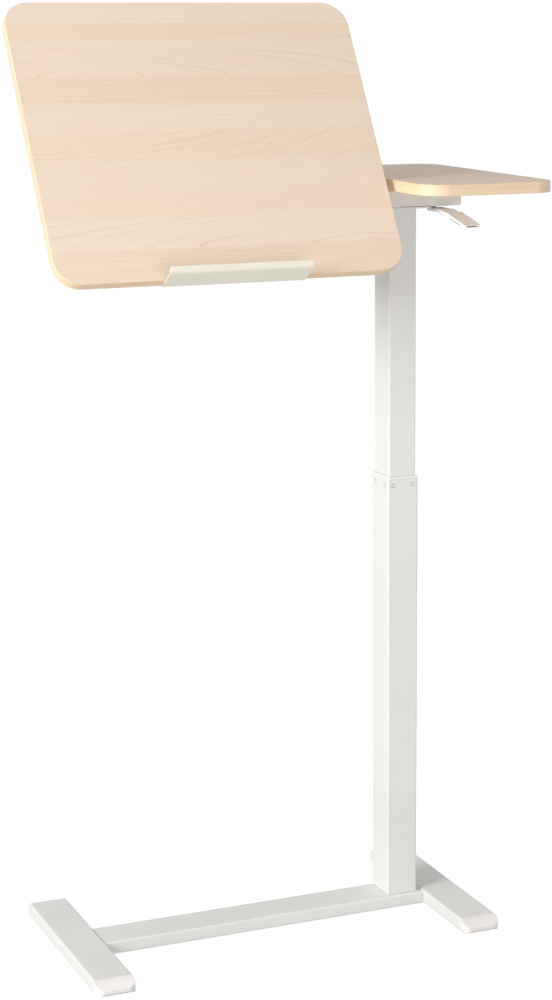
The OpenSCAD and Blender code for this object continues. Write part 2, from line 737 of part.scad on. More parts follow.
// two coned discs per hinge, wide rims outward
module pivot_disc_springs() color(dark) for (x = hinges_x, k = [0, 1])
  translate([x + bracket_half + disc_pitch*k, pivot_y, pivot_z]) rotate([0, 90, 0])
    difference() {
      cylinder(r1 = k == 0 ? 6.4 : 5.4, r2 = k == 0 ? 5.4 : 6.4, h = 1.15);
      translate([0, 0, -cut]) cylinder(r = 3.1, h = 4);
    }

module friction_washers() color(dark) for (x = hinges_x, s = [-1, 1]) difference() {
  mid_x = x + s*(bracket_half - ear_t - 0.5);
  pivot_cyl(mid_x - 0.5, mid_x + 0.5, 6.5);
  pivot_cyl(mid_x - 1, mid_x + 1, pivot_r);
}

// saddle under the tilting leaf: plate forward of the pivot, ears down to it
module hinge_leaf(x) color(metal) tilted() difference() {
  ear_top = pivot_drop - 1;
  union() {
    block(x - saddle_half, x + saddle_half, pivot_y - 52, pivot_y + 4,
          z_leaf - hinge_plate_t, z_leaf);
    hinge_ears(x, saddle_half) union() {
      circle(r = 6.5);
      translate([-6.5, 0]) square([10.5, ear_top]);
      polygon([[-30, ear_top], [-6.5, -1], [0, -1], [0, ear_top]]);
    }
  }
  pivot_cyl(x - 22, x + 22, pivot_r + 0.05);
  cyls(hinge_screws(x), pivot_z, z_leaf + cut, 2.1);
}
module hinge_leaf_left() hinge_leaf(hinges_x[0]);
module hinge_leaf_right() hinge_leaf(hinges_x[1]);

module hinge_leaf_screws() color(steel) tilted()
  pan_screws(all_hinge_screws, z_leaf - hinge_plate_t, z_leaf + tilt_screw_depth);

// ---------- tilting leaf and page stop ----------

tilt_mid_x = (tilt_x0 + tilt_x1)/2;
stop_screws = [for (k = [-1, 0, 1]) [tilt_mid_x + k*(stop_l/2 - 20), front_y + 14]];
stop_t = 1.5;
flange_d = 26;                   // flange of the page stop under the leaf
lip = 10;
lip_angle = 45;
bend_r = 6;                      // inside radius of the flared lip
lip_corner_r = 6;

module tilting_leaf() color(wood) tilted() difference() {
  leaf_board(tilt_x0, tilt_x1, z_leaf);
  cyls(concat(all_hinge_screws, stop_screws), z_leaf - cut, z_leaf + tilt_screw_depth, screw_r);
}
module tilting_leaf_edge_band() color(band) tilted() leaf_band(tilt_x0, tilt_x1, z_leaf);

// bent strip: flange under the leaf, blade across its front edge, flared lip
module page_stop() color(metal) tilted() difference() {
  blade_z = board_t + stop_h;    // where the lines of blade and lip would meet
  bend_l = bend_r*tan(lip_angle/2);
  bend_z = blade_z - bend_l;     // start of the bend
  flat_l = lip - bend_l;         // straight part of the lip
  end_y = bend_r*(1 - cos(lip_angle)) + flat_l*sin(lip_angle);
  end_z = bend_z + bend_r*sin(lip_angle) + flat_l*cos(lip_angle);
  outer_bend_r = bend_r + stop_t;
  extrude_x(tilt_mid_x - stop_l/2, tilt_mid_x + stop_l/2, front_y, z_leaf)
    polygon(concat(
      [[flange_d, 0], [0, 0]],
      [for (a = [0:7.5:45]) [bend_r*(1 - cos(a)), bend_z + bend_r*sin(a)]],
      [[end_y, end_z], [end_y - stop_t*cos(lip_angle), end_z + stop_t*sin(lip_angle)]],
      [for (a = [45:-7.5:0]) [bend_r - outer_bend_r*cos(a), bend_z + outer_bend_r*sin(a)]],
      [for (a = [0:22.5:90]) [-stop_t*cos(a), -stop_t*sin(a)]],
      [[flange_d, -stop_t]]));
  cyls(stop_screws, z_leaf - 3, z_leaf + cut, 2.1);
  // rounded ends of the lip
  for (s = [-1, 1])
    translate([tilt_mid_x + s*stop_l/2, front_y, z_leaf + blade_z]) rotate([-lip_angle, 0, 0])
      extrude_y(0, -6, 4, lip) difference() {
        translate([-lip_corner_r, -lip_corner_r]) square(2*[lip_corner_r, lip_corner_r]);
        translate([-s*lip_corner_r, -lip_corner_r]) circle(r = lip_corner_r, $fn = 40);
        translate([-s*2*lip_corner_r - lip_corner_r, -8]) square([2*lip_corner_r, 20]);
      }
}

module page_stop_screws() color(steel) tilted()
  pan_screws(stop_screws, z_leaf - stop_t, z_leaf + tilt_screw_depth);

// ---------- assembly ----------

crossbar();
bar_tongues();
base_bolts();
left_foot_tube();
right_foot_tube();
left_foot_front_cap();
left_foot_rear_cap();
right_foot_front_cap();
right_foot_rear_cap();
foot_pads();
outer_column();
column_base_plate();
column_bolts();
spring_foot_nut();
upper_glide_bushing();
glide_buttons();
gas_spring_cylinder();
gas_spring_rod_guide();
inner_column();
lower_glide_bushing();
gas_spring_rod();
gas_spring_piston();
rod_nuts();
release_pin();
column_saddle_plate();
column_head_plate();
top_frame();
rail_end_caps();
fixed_leaf();
fixed_leaf_edge_band();
fixed_leaf_screws();
lever_bearing_left();
lever_bearing_right();
lever_bushes();
lever_shaft();
lever_finger();
lever_arm();
lever_grip();
grip_screws();
shaft_clips();
hinge_bracket_left();
hinge_bracket_right();
pivot_bolts();
pivot_nuts();
pivot_disc_springs();
friction_washers();
hinge_leaf_left();
hinge_leaf_right();
hinge_leaf_screws();
tilting_leaf();
tilting_leaf_edge_band();
page_stop();
page_stop_screws();
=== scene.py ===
import json
import math
import random
from collections import namedtuple
from itertools import accumulate

import bmesh
import bpy
from mathutils import Matrix, Vector

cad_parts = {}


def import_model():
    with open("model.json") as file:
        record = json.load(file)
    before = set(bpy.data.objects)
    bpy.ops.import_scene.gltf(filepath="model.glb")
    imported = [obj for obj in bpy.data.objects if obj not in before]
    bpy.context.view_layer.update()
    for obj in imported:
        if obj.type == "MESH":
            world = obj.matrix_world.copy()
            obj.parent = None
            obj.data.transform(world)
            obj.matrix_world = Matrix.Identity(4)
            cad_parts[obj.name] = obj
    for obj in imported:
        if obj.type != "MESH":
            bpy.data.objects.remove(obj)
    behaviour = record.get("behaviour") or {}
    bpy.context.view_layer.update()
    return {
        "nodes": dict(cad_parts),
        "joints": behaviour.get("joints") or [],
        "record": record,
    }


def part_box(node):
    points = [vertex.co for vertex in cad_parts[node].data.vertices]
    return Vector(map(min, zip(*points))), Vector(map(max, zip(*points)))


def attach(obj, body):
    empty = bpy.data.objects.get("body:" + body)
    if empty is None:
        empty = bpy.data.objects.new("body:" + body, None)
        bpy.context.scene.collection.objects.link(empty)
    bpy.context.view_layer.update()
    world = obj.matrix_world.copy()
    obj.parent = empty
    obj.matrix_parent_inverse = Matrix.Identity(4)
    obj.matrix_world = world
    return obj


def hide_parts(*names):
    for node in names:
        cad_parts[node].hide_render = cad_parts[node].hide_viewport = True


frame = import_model()
NODES = frame["nodes"]
random.seed(11)

# Pivot axis of the tilting leaf, and its tilt in the loaded pose
TILT_JOINT = {joint["name"]: joint for joint in frame["joints"]}["panel_tilt"]
PIVOT = Vector((0, TILT_JOINT["pos_m"][1], TILT_JOINT["pos_m"][2]))
TILT = math.radians(-TILT_JOINT["range_deg"][0])
LEVELLING = Matrix.Rotation(-TILT, 3, "X")

CAP_EASE = 0.0008           # bevel on the foot and rail caps
CAP_EASE_SEGMENTS = 3
CAP_EASE_ANGLE = 35         # degrees; flatter edges stay as they are
WELD_DISTANCE = 0.00001

LEAF_CORNER_RADIUS = 0.037
LEAST_BAND_THICKNESS = 0.0005
ARRIS_RADIUS = 0.0008       # rounding along both edges of a band
CORNER_STEPS = 28
ARRIS_STEPS = 4
BAND_FACE_STEPS = 6
STRAIGHT_STEP = 0.03        # shortest spacing along the straight sides

FLOOR_HALF_SIZE = 60.0


# ---------------------------------------------------------------- material tools

def linear(rgb):
    """sRGB 0-255 to linear RGBA."""
    channels = []
    for value in rgb:
        value = value / 255.0
        channels.append(value / 12.92 if value <= 0.04045 else ((value + 0.055) / 1.055) ** 2.4)
    return (*channels, 1.0)


def shade(colour, *gains):
    """Colour times one gain, or times a gain for each of red, green and blue."""
    if len(gains) == 1:
        gains = gains * 3
    return (*(min(1, value * gain) for value, gain in zip(colour, gains)), 1)


class Material:
    """A node material with short calls for its nodes."""

    INPUTS = {"color": "Base Color", "rough": "Roughness", "metal": "Metallic",
              "normal": "Normal", "spec": "Specular IOR Level", "sss_scale": "Subsurface Scale"}

    def __init__(self, name):
        self.data = bpy.data.materials.new(name)
        self.data.use_nodes = True
        self.tree = self.data.node_tree
        self.tree.nodes.clear()
        self.output = self.node("ShaderNodeOutputMaterial")
        self.shader = self.node("ShaderNodeBsdfPrincipled")
        self.put(self.output.inputs[0], self.shader.outputs[0])

    def node(self, kind, **settings):
        node = self.tree.nodes.new(kind)
        for key, value in settings.items():
            setattr(node, key, value)
        return node

    def put(self, socket, value):
        """Links an output socket, or sets a plain value."""
        if hasattr(value, "links"):
            self.tree.links.new(value, socket)
        else:
            socket.default_value = value

    def fill(self, node, *values):
        """Feeds the first inputs of a node and returns its first output."""
        for i, value in enumerate(values):
            self.put(node.inputs[i], value)
        return node.outputs[0]

    def finish(self, **values):
        """Feeds the principled shader and returns the material."""
        for key, value in values.items():
            self.put(self.shader.inputs[self.INPUTS[key]], value)
        return self.data

    # vectors

    def coord(self, kind="Object"):
        return self.node("ShaderNodeTexCoord").outputs[kind]

    def mapping(self, vector, location=(0, 0, 0), rotation=(0, 0, 0), scale=(1, 1, 1)):
        return self.fill(self.node("ShaderNodeMapping"), vector, location, rotation, scale)

    def split(self, vector):
        node = self.node("ShaderNodeSeparateXYZ")
        self.put(node.inputs[0], vector)
        return node.outputs

    def join(self, x, y, z):
        return self.fill(self.node("ShaderNodeCombineXYZ"), x, y, z)

    # numbers

    def math(self, operation, first, second=0.0):
        return self.fill(self.node("ShaderNodeMath", operation=operation), first, second, 0.0)

    def add(self, first, second):
        return self.math("ADD", first, second)

    def sub(self, first, second):
        return self.math("SUBTRACT", first, second)

    def mul(self, first, second):
        return self.math("MULTIPLY", first, second)

    def vary(self, value, base, amount):
        return self.add(self.mul(value, amount), base)

    def sway(self, base, noise, amount):
        """Base pushed either way by a noise centred on 0.5."""
        return self.add(base, self.mul(self.sub(noise, 0.5), amount))

    def remap(self, value, low, high, to_low=0.0, to_high=1.0, smooth=False):
        node = self.node("ShaderNodeMapRange", clamp=True)
        if smooth:
            node.interpolation_type = "SMOOTHSTEP"
        return self.fill(node, value, low, high, to_low, to_high)

    def noise(self, vector, scale, detail=2.0, rough=0.5):
        node = self.node("ShaderNodeTexNoise")
        self.put(node.inputs["Vector"], vector)
        node.inputs["Scale"].default_value = scale
        node.inputs["Detail"].default_value = detail
        node.inputs["Roughness"].default_value = rough
        return node.outputs["Fac"]

    def grain(self, u, v, stretch, layer, detail=3.0, rough=0.5):
        """Noise with its own scale along u and v; each layer is another slice of the noise."""
        vector = self.join(self.mul(u, stretch[0]), self.mul(v, stretch[1]), layer)
        return self.noise(vector, scale=1.0, detail=detail, rough=rough)

    # colours and surface

    def mix(self, factor, first, second, mode="MIX"):
        node = self.node("ShaderNodeMix", data_type="RGBA", blend_type=mode)
        self.put(node.inputs[0], factor)
        self.put(node.inputs[6], first)
        self.put(node.inputs[7], second)
        return node.outputs[2]

    def tint(self, colour, other, mask, amount):
        return self.mix(self.mul(mask, amount), colour, other)

    def steps(self, factor, starts, colours):
        """Colour ramp that holds each colour until the next start; gives the three channels."""
        node = self.node("ShaderNodeValToRGB")
        self.put(node.inputs[0], factor)
        ramp = node.color_ramp
        ramp.interpolation = "CONSTANT"
        while len(ramp.elements) < len(starts):
            ramp.elements.new(0.5)
        for element, start, colour in zip(ramp.elements, starts, colours):
            element.position = start
            element.color = (*colour, 1)
        return self.split(node.outputs[0])

    def bump(self, height, strength, distance, normal=None):
        node = self.node("ShaderNodeBump")
        node.inputs["Strength"].default_value = strength
        node.inputs["Distance"].default_value = distance
        self.put(node.inputs["Height"], height)
        if normal is not None:
            self.put(node.inputs["Normal"], normal)
        return node.outputs[0]

    def painted_crevice_shade(self, colour, reach, darkest=0.72):
        """Colour darkened by ambient occlusion in tight seams and recesses: painted shade."""
        occlusion = self.node("ShaderNodeAmbientOcclusion", samples=8)
        occlusion.inputs["Distance"].default_value = reach
        gain = self.remap(occlusion.outputs["AO"], low=0.30, high=0.85,
                          to_low=darkest, to_high=1.0, smooth=True)
        return self.mix(1.0, colour, self.join(gain, gain, gain), "MULTIPLY")

    def eased(self, radius):
        """Normal of a cut edge eased by a small radius."""
        node = self.node("ShaderNodeBevel", samples=6)
        node.inputs["Radius"].default_value = radius
        return node.outputs[0]

    def mix_shaders(self, factor, first, second):
        return self.fill(self.node("ShaderNodeMixShader"), factor, first, second)


# ---------------------------------------------------------------- metal, plastic and rubber

def powder_coat(name, rgb, rough=0.42):
    """Sprayed and baked powder: faint orange peel, a little mottling in the gloss."""
    mat = Material(name)
    place = mat.coord()
    base = linear(rgb)
    cloud = mat.noise(place, scale=9.0, detail=3.0, rough=0.55)
    fine = mat.noise(place, scale=260.0)
    peel = mat.noise(place, scale=720.0, detail=1.5, rough=0.45)
    grit = mat.noise(place, scale=2600.0, detail=1.0)
    colour = mat.mix(mat.remap(cloud, low=0.35, high=0.65), shade(base, 0.975), shade(base, 1.012))
    gloss = mat.vary(cloud, base=rough - 0.05, amount=0.10)
    gloss = mat.add(gloss, mat.mul(fine, 0.06))
    normal = mat.bump(peel, strength=0.22, distance=0.00022, normal=mat.eased(0.0006))
    normal = mat.bump(grit, strength=0.10, distance=0.00006, normal=normal)
    # The colour is darkened in seams and recesses by ambient occlusion: painted shade.
    return mat.finish(color=mat.painted_crevice_shade(colour, reach=0.0035), rough=gloss, normal=normal,
                      spec=0.45)


def moulded(name, rgb, rough=0.5, texture=1.0):
    """Injection-moulded plastic with a fine spark-eroded texture."""
    mat = Material(name)
    place = mat.coord()
    base = linear(rgb)
    cloud = mat.noise(place, scale=26.0)
    fine = mat.noise(place, scale=420.0)
    pits = mat.node("ShaderNodeTexVoronoi", feature="F1")
    mat.put(pits.inputs["Vector"], place)
    pits.inputs["Scale"].default_value = 1500.0
    colour = mat.mix(mat.remap(cloud, low=0.3, high=0.7), shade(base, 0.97), base)
    normal = mat.bump(pits.outputs["Distance"], strength=0.16 * texture, distance=0.0001,
                      normal=mat.eased(0.0005))
    # The colour is darkened in seams and recesses, such as round the buttons, by ambient
    # occlusion: painted shade.
    return mat.finish(color=mat.painted_crevice_shade(colour, reach=0.0022, darkest=0.62),
                      rough=mat.vary(fine, base=rough - 0.06, amount=0.12),
                      normal=normal, spec=0.4, sss_scale=0.002)


def steel(name, rgb, rough):
    """Zinc-plated or ground steel: micro scratches along Z and a cloudy tint."""
    mat = Material(name)
    place = mat.coord()
    base = linear(rgb)
    stretched = mat.mapping(place, scale=(420.0, 420.0, 22.0))
    streak = mat.noise(stretched, scale=3.0, detail=3.0, rough=0.6)
    cloud = mat.noise(place, scale=60.0, detail=3.0, rough=0.6)
    warm = shade(base, 1.02, 0.99, 0.93)
    cool = shade(base, 0.90, 0.93, 0.98)
    colour = mat.mix(mat.remap(cloud, low=0.35, high=0.65), warm, cool)
    scratched = mat.remap(streak, low=0.4, high=0.75)
    return mat.finish(color=mat.tint(colour, shade(base, 0.7), scratched, amount=0.25),
                      rough=mat.vary(streak, base=rough - 0.10, amount=0.22), metal=1.0,
                      normal=mat.bump(streak, strength=0.12, distance=0.00008,
                                      normal=mat.eased(0.0003)))


def black_lacquer(name):
    """Glossy black with faint orange peel."""
    mat = Material(name)
    place = mat.coord()
    peel = mat.noise(place, scale=500.0)
    cloud = mat.noise(place, scale=18.0, detail=3.0, rough=0.6)
    return mat.finish(color=mat.mix(cloud, (0.008, 0.008, 0.009, 1), (0.02, 0.02, 0.022, 1)),
                      rough=mat.vary(cloud, base=0.22, amount=0.15),
                      normal=mat.bump(peel, strength=0.12, distance=0.0001), spec=0.5)


def rubber(name):
    """Dull, near-black rubber with a fine grain."""
    mat = Material(name)
    place = mat.coord()
    grain = mat.noise(place, scale=900.0, detail=3.0, rough=0.6)
    cloud = mat.noise(place, scale=40.0, detail=3.0, rough=0.6)
    return mat.finish(color=mat.mix(cloud, (0.012, 0.012, 0.013, 1), (0.035, 0.034, 0.034, 1)),
                      rough=mat.vary(grain, base=0.68, amount=0.15),
                      normal=mat.bump(grain, strength=0.3, distance=0.00012), spec=0.3)


# ---------------------------------------------------------------- maple

LIGHT_STAVE = linear((244, 227, 210))
DARK_STAVE = linear((242, 220, 196))
RING_LINE = linear((226, 193, 160))
KNOT = linear((196, 150, 108))
BAND_LIGHT = linear((246, 223, 193))
BAND_DARK = linear((240, 212, 178))
BAND_FIBRE = linear((224, 190, 150))

# One stave of a leaf, which runs along X:
#   width   across the grain, along Y
#   tone    0 dark to 1 light
#   centre  of the rings, measured forward from the stave's front line
#   dip     least depth of the pith line under the face
#   slope   of the pith line along X
#   apex    x where the pith line comes nearest the face
#   pitch   from ring to ring
#   line, curl, mottle   strengths of ring lines, cross-grain curl and light patches
Stave = namedtuple("Stave", "width tone centre dip slope apex pitch line curl mottle")

# From the rear edge of the tilting leaf to its front, columns as in Stave
TILT_STAVES = [Stave(*row) for row in (
    (0.033, 0.90, 0.090, 0.010, 0.020, -0.10, 0.0040, 0.35, 0.8, 0.2),
    (0.024, 0.15, 0.060, 0.010, 0.012, -0.20, 0.0034, 0.60, 0.1, 0.1),
    (0.016, 0.75, -0.070, 0.010, 0.060, -0.30, 0.0042, 0.70, 0.0, 0.2),
    (0.043, 0.50, 0.000, 0.004, 0.112, -0.2425, 0.0088, 1.00, 0.0, 0.5),
    (0.042, 0.00, -0.130, 0.010, 0.080, -0.30, 0.0042, 0.85, 0.0, 0.0),
    (0.044, 0.70, -0.150, 0.010, 0.080, -0.32, 0.0046, 0.60, 0.1, 0.2),
    (0.044, 0.15, -0.066, 0.006, 0.170, -0.33, 0.0080, 0.90, 0.0, 0.5),
    (0.050, 0.55, 0.120, 0.010, 0.050, 0.10, 0.0070, 0.35, 0.5, 1.0),
    (0.036, 0.35, 0.060, 0.010, 0.030, 0.05, 0.0060, 0.35, 1.0, 0.8),
    (0.048, 0.85, 0.000, 0.005, 0.090, 0.10, 0.0090, 1.00, 0.1, 0.5),
    (0.048, 0.20, 0.080, 0.010, 0.030, 0.05, 0.0040, 0.80, 0.0, 0.1),
)]


def random_staves(rng, total):
    """Staves across a leaf; about a third show nested arches, the others nearly straight lines."""
    staves, covered = [], 0.0
    while covered < total - 0.012:
        width = min(rng.uniform(0.024, 0.052), total - covered)
        if rng.random() < 0.35:
            stave = Stave(width, tone=rng.uniform(0.4, 0.8), centre=0.0, dip=0.004,
                          slope=rng.uniform(0.06, 0.16), apex=rng.uniform(0.16, 0.36),
                          pitch=0.0085, line=1.0, curl=0.2, mottle=0.3)
        else:
            stave = Stave(width, tone=rng.uniform(0.1, 0.95), centre=rng.uniform(0.05, 0.10),
                          dip=0.01, slope=rng.uniform(0.01, 0.05), apex=rng.uniform(-0.1, 0.5),
                          pitch=rng.uniform(0.0034, 0.0052), line=rng.uniform(0.3, 0.9),
                          curl=rng.uniform(0, 0.8), mottle=0.4)
        staves.append(stave)
        covered += width
    return staves


def stave_sockets(mat, across, depth, staves):
    """Sockets with the values of the stave at hand, its centre counted from the rear edge."""
    # Ramp colours hold 0 to 1, so values are shifted or scaled to fit and turned back after
    centre_shift, apex_shift = 0.3, 0.5
    dip_range, slope_range, pitch_range = 0.1, 0.5, 0.02
    ends = list(accumulate(stave.width for stave in staves))
    starts = [min(1.0, start / depth) for start in [0.0] + ends[:-1]]
    place = mat.math("DIVIDE", across, depth)
    tone, centre, dip = mat.steps(place, starts, [
        (s.tone, end + s.centre + centre_shift, s.dip / dip_range)
        for s, end in zip(staves, ends)])
    slope, apex, pitch = mat.steps(place, starts, [
        (s.slope / slope_range, s.apex + apex_shift, s.pitch / pitch_range) for s in staves])
    line, curl, mottle = mat.steps(place, starts, [(s.line, s.curl, s.mottle) for s in staves])
    return Stave(width=None, tone=tone, centre=mat.sub(centre, centre_shift),
                 dip=mat.mul(dip, dip_range), slope=mat.mul(slope, slope_range),
                 apex=mat.sub(apex, apex_shift), pitch=mat.mul(pitch, pitch_range),
                 line=line, curl=curl, mottle=mottle)


def growth_rings(mat, x, across, stave, seed):
    """Distance from the pith line, and masks for the dark late wood and the early wood."""
    waver = mat.grain(x, across, stretch=(7.0, 16.0), layer=seed + 1.3)
    drift = mat.grain(x, across, stretch=(4.0, 9.0), layer=seed + 4.1, detail=2.0)
    along = mat.sub(x, stave.apex)
    apex_rounding = 0.0004      # square metres; rounds the tips of the arches
    along = mat.math("SQRT", mat.add(mat.mul(along, along), apex_rounding))
    below = mat.add(stave.dip, mat.mul(along, stave.slope))
    below = mat.sway(below, drift, amount=0.012)
    aside = mat.sway(mat.sub(across, stave.centre), waver, amount=0.0042)
    radius = mat.math("SQRT", mat.add(mat.mul(aside, aside), mat.mul(below, below)))

    # Rings counted outward, unevenly spaced
    count = mat.math("DIVIDE", radius, stave.pitch)
    uneven = mat.noise(mat.join(mat.mul(count, 0.45), 0.0, seed + 8.0), scale=1.0, detail=1.0)
    count = mat.add(count, mat.mul(uneven, 2.4))
    ring = mat.math("FLOOR", count)
    # Metres before the next ring, negative
    before = mat.mul(mat.sub(mat.math("FRACT", count), 1.0), stave.pitch)
    late = mat.mul(mat.remap(before, low=-0.0019, high=-0.0005, smooth=True),
                   mat.remap(before, low=-0.0005, high=0.0, to_low=1.0, to_high=0.0, smooth=True))

    # Each ring has its own strength and fades in and out along X
    each = mat.node("ShaderNodeTexWhiteNoise", noise_dimensions="1D")
    mat.put(each.inputs["W"], mat.add(ring, seed))
    each = mat.remap(each.outputs["Value"], low=0.0, high=1.0, to_low=0.25)
    fade = mat.grain(x, ring, stretch=(5.0, 3.7), layer=seed + 11.0, detail=2.0)
    fade = mat.remap(fade, low=0.30, high=0.62, to_low=0.25)
    late = mat.mul(mat.mul(late, each), mat.mul(fade, stave.line))
    early = mat.mul(mat.math("FRACT", count), 0.35)
    return radius, late, early


def curl_mask(mat, x, across, stave, seed):
    """Curl across the grain, in patches."""
    curl = mat.grain(x, across, stretch=(210.0, 40.0), layer=seed + 19.0, detail=2.0, rough=0.55)
    patch = mat.grain(x, across, stretch=(6.0, 12.0), layer=seed + 23.0, detail=1.0)
    curl = mat.mul(mat.remap(curl, low=0.5, high=0.7), mat.remap(patch, low=0.42, high=0.62))
    return mat.mul(curl, stave.curl)


def knot_mask(mat, x, across):
    """Sparse pin knots, in a few of the voronoi cells."""
    cells = mat.node("ShaderNodeTexVoronoi", voronoi_dimensions="2D", feature="F1")
    mat.put(cells.inputs["Vector"], mat.join(mat.mul(x, 6.0), mat.mul(across, 11.0), 0.0))
    cells.inputs["Scale"].default_value = 1.0
    rare = mat.math("GREATER_THAN", mat.split(cells.outputs["Color"])[0], 0.84)
    spot = mat.remap(cells.outputs["Distance"], low=0.004, high=0.034,
                     to_low=1.0, to_high=0.0, smooth=True)
    return mat.mul(spot, rare)


def maple(name, lo, hi, staves, tilted, seed):
    """Maple in staves along X. Each stave is a cut through growth rings about a pith line that
    dips under the face, so the rings come out as straight lines or as nested arches."""
    mat = Material(name)
    place = mat.coord()
    if tilted:
        # Turned back to level about the pivot axis
        place = mat.mapping(place, location=tuple(PIVOT - LEVELLING @ PIVOT),
                            rotation=(-TILT, 0, 0))
    x, y = mat.split(place)[0:2]
    across = mat.sub(hi.y, y)       # from the rear edge forward
    stave = stave_sockets(mat, across, hi.y - lo.y, staves)
    radius, late, early = growth_rings(mat, x, across, stave, seed)

    zone = mat.grain(x, across, stretch=(3.2, 60.0), layer=seed + 15.0, rough=0.55)
    cloud = mat.grain(x, across, stretch=(16.0, 42.0), layer=seed + 17.0, rough=0.6)
    ring_fibre = mat.grain(x, radius, stretch=(9.0, 520.0), layer=seed + 2.0, rough=0.6)
    fine_fibre = mat.grain(x, across, stretch=(30.0, 1500.0), layer=seed + 5.0, rough=0.6)
    patches = mat.mul(mat.remap(cloud, low=0.45, high=0.72), stave.mottle)

    colour = mat.mix(stave.tone, DARK_STAVE, LIGHT_STAVE)
    for other, mask, amount in (
        (DARK_STAVE, mat.remap(zone, low=0.45, high=0.70), 0.30),
        (LIGHT_STAVE, patches, 0.45),
        (RING_LINE, early, 0.16),
        (RING_LINE, mat.remap(ring_fibre, low=0.48, high=0.74), 0.15),
        (RING_LINE, mat.remap(fine_fibre, low=0.45, high=0.75), 0.10),
        (RING_LINE, curl_mask(mat, x, across, stave, seed), 0.12),
        (RING_LINE, late, 0.60),
        (KNOT, knot_mask(mat, x, across), 0.20),
    ):
        colour = mat.tint(colour, other, mask, amount)
    rough = mat.vary(ring_fibre, base=0.41, amount=0.10)
    rough = mat.add(rough, mat.mul(late, 0.06))
    normal = mat.bump(fine_fibre, strength=0.08, distance=0.00006)
    normal = mat.bump(late, strength=0.10, distance=-0.00008, normal=normal)
    return mat.finish(color=colour, rough=rough, normal=normal, spec=0.35)


def maple_edge(name, seed):
    """Maple edge banding, its grain running along the strip (UV in metres)."""
    mat = Material(name)
    u, v = mat.split(mat.coord("UV"))[0:2]
    v = mat.add(v, seed)
    fibre = mat.grain(u, v, stretch=(9.0, 420.0), layer=seed, rough=0.6)
    fine_fibre = mat.grain(u, v, stretch=(40.0, 1500.0), layer=seed + 3, rough=0.6)
    zone = mat.grain(u, v, stretch=(3.0, 60.0), layer=seed + 7, detail=2.0)
    colour = mat.mix(mat.remap(zone, low=0.35, high=0.65), BAND_LIGHT, BAND_DARK)
    colour = mat.tint(colour, BAND_FIBRE, mat.remap(fibre, low=0.45, high=0.72), amount=0.5)
    colour = mat.tint(colour, BAND_FIBRE, mat.remap(fine_fibre, low=0.5, high=0.75), amount=0.2)
    return mat.finish(color=colour, rough=mat.vary(fibre, base=0.38, amount=0.12),
                      normal=mat.bump(fine_fibre, strength=0.08, distance=0.00006), spec=0.4)


# ---------------------------------------------------------------- dressing the CAD pieces

def level_box(node):
    """Box of a tilting-leaf node with the leaf turned level."""
    points = [LEVELLING @ (v.co - PIVOT) + PIVOT for v in NODES[node].data.vertices]
    return (Vector(min(point[i] for point in points) for i in range(3)),
            Vector(max(point[i] for point in points) for i in range(3)))


def dress(obj, material):
    obj.data.materials.clear()
    obj.data.materials.append(material)


SLOT_MATERIALS = {
    "powder_coat": powder_coat("powder_coat", (232, 231, 227)),
    "cap_plastic": moulded("cap_plastic", (243, 238, 235), rough=0.46),
    "glide_plastic": moulded("glide_plastic", (241, 240, 235), rough=0.36, texture=0.5),
    "lever_plastic": moulded("lever_plastic", (243, 242, 240), rough=0.42, texture=0.8),
    "zinc_steel": steel("zinc_steel", (196, 199, 202), rough=0.36),
    "rod_steel": steel("rod_steel", (210, 212, 215), rough=0.16),
    "spring_tube": black_lacquer("spring_tube"),
    "pad_rubber": rubber("pad_rubber"),
    "friction_plastic": moulded("friction_plastic", (52, 52, 54)),
    "blade_coat": powder_coat("blade_coat", (246, 240, 226), rough=0.38),
}

tilt_lo, tilt_hi = level_box("tilting_leaf_edge_band")
fixed_lo, fixed_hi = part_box("fixed_leaf_edge_band")
fixed_staves = random_staves(random.Random(5), fixed_hi.y - fixed_lo.y)
LEAF_MATERIALS = {
    "tilting_leaf": maple("maple_tilt", tilt_lo, tilt_hi, TILT_STAVES, tilted=True, seed=0.0),
    "fixed_leaf": maple("maple_fixed", fixed_lo, fixed_hi, fixed_staves, tilted=False, seed=3.7),
}
EDGE_TILT = maple_edge("maple_edge_tilt", seed=0.3)
EDGE_FIXED = maple_edge("maple_edge_fixed", seed=1.7)

slot_of = {part["node"]: part["material_slot"] for part in frame["record"]["subparts"]}
for name, obj in NODES.items():
    if name in LEAF_MATERIALS:
        dress(obj, LEAF_MATERIALS[name])
    elif slot_of[name] == "maple_band":
        dress(obj, EDGE_TILT if name.startswith("tilt") else EDGE_FIXED)
    else:
        dress(obj, SLOT_MATERIALS[slot_of[name]])


def soften(obj):
    """Welds the imported shading splits and eases the sharp edges."""
    weld = obj.modifiers.new("weld", "WELD")
    weld.merge_threshold = WELD_DISTANCE
    ease = obj.modifiers.new("ease", "BEVEL")
    ease.width = CAP_EASE
    ease.segments = CAP_EASE_SEGMENTS
    ease.limit_method = "ANGLE"
    ease.angle_limit = math.radians(CAP_EASE_ANGLE)
    ease.use_clamp_overlap = True
    ease.harden_normals = True


for name in ("left_foot_front_cap", "left_foot_rear_cap", "right_foot_front_cap",
             "right_foot_rear_cap", "rail_end_caps"):
    soften(NODES[name])


# ---------------------------------------------------------------- edge bands

